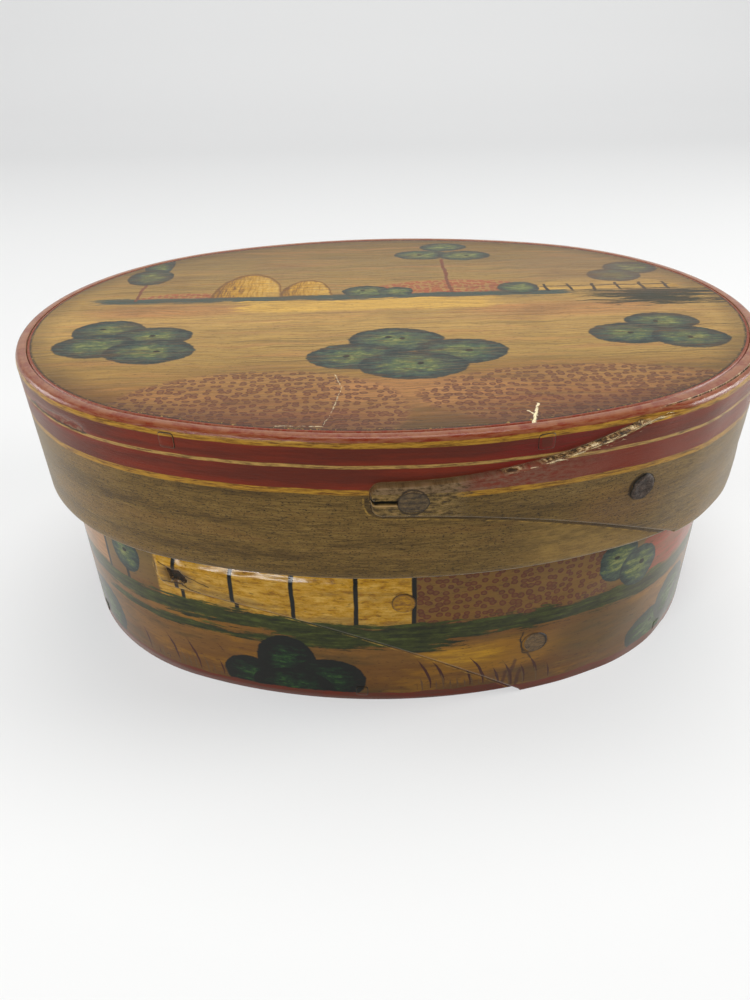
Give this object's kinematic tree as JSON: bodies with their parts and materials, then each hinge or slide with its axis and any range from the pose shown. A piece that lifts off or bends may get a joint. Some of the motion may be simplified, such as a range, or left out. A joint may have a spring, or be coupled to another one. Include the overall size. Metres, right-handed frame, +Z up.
{
  "type": "oval bentwood box",
  "caption": "Oval bentwood box with a lift-off lid, pegged finger laps and a painted, varnished finish.",
  "frame": {"origin": "centre of the underside of the bottom board, on the surface the box stands on", "axes": "+X along the length towards the end where the laps fade out, -Y the front with both lap fingers, +Z up and out of the lid"},
  "size_m": [0.2245, 0.1722, 0.091],
  "materials": {
    "bare_wood": "aged bare wood, matt",
    "painted_body": "painted ochre and green, old satin varnish",
    "painted_board": "painted olive tan, old satin varnish",
    "painted_lid_band": "painted red and olive tan with gold lines, old satin varnish",
    "body_peg": "painted over with the band",
    "lid_peg": "worn olive tan paint",
    "red_peg": "painted dark red with the band",
    "dark_peg": "dark worn wood"
  },
  "bodies": {
    "box": {"bottom_board": "bare_wood", "body_band": "painted_body", "body_tip_peg": "dark_peg", "body_mid_peg": "body_peg", "body_root_peg": "body_peg", "bottom_board_pegs": "body_peg"},
    "lid": {"lid_board": "painted_board", "lid_band": "painted_lid_band", "lid_tip_peg": "lid_peg", "lid_root_peg": "dark_peg", "lid_board_pegs": "red_peg"}
  },
  "joints": [
    {"name": "lid_lift", "type": "slide", "parent": "box", "child": "lid", "axis": [0, 0, 1], "range_m": [0, 0.12]}
  ]
}
